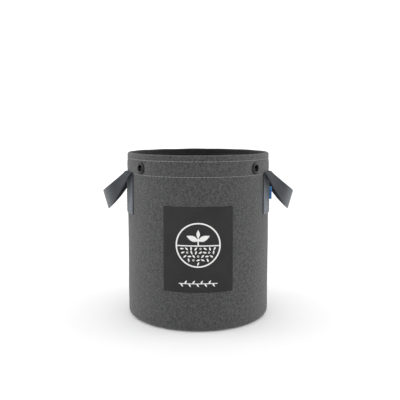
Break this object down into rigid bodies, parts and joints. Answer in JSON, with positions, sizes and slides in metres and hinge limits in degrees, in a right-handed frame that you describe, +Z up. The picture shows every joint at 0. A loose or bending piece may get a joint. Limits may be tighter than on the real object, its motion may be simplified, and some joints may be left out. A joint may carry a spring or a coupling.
{
  "type": "fabric grow bag",
  "caption": "Round heather-grey felt grow bag with a turned-in hem, black metal eyelets, webbing loop handles, a dark front label and a blue side tag.",
  "frame": {"origin": "centre of the underside, on the surface that the bag stands on", "axes": "+Z up through the open mouth, -Y out of the front, where the label is, +X towards the side with the tag and the right handle"},
  "size_m": [0.2174, 0.1612, 0.183],
  "materials": {
    "felt": "heather grey needle-punched felt, darker inside the bag",
    "felt_inside": "charcoal needle-punched felt",
    "webbing": "blue-grey woven polypropylene webbing",
    "thread": "light grey twisted polyester thread",
    "strap_thread": "grey twisted polyester thread",
    "eyelet_metal": "black lacquered steel",
    "label": "smooth matt charcoal synthetic leather patch",
    "print": "white screen ink",
    "tag": "blue woven ribbon"
  },
  "bodies": {
    "bag": {"side_wall": "felt", "top_hem": "felt", "base_panel": "felt", "rim_stitch_upper": "thread", "rim_stitch_lower": "thread", "side_seam_stitch": "thread", "base_seam_stitch": "thread", "front_label": "label", "side_tag": "tag", "eyelet_front_left": "eyelet_metal", "washer_front_left": "eyelet_metal", "eyelet_front_right": "eyelet_metal", "washer_front_right": "eyelet_metal", "eyelet_back_left": "eyelet_metal", "washer_back_left": "eyelet_metal", "eyelet_back_right": "eyelet_metal", "washer_back_right": "eyelet_metal", "left_handle_front_leg": "webbing", "left_handle_front_stitch": "strap_thread", "left_handle_back_leg": "webbing", "left_handle_back_stitch": "strap_thread", "right_handle_front_leg": "webbing", "right_handle_front_stitch": "strap_thread", "right_handle_back_leg": "webbing", "right_handle_back_stitch": "strap_thread"},
    "left_handle": {"left_handle_loop": "webbing"},
    "right_handle": {"right_handle_loop": "webbing"}
  },
  "joints": [
    {"name": "left_handle_swing", "type": "hinge", "parent": "bag", "child": "left_handle", "pos_m": [-0.08, 0, 0.1618], "axis": [0, 1, 0], "range_deg": [-20, 130]},
    {"name": "right_handle_swing", "type": "hinge", "parent": "bag", "child": "right_handle", "pos_m": [0.08, 0, 0.1618], "axis": [0, -1, 0], "range_deg": [-20, 130]}
  ]
}
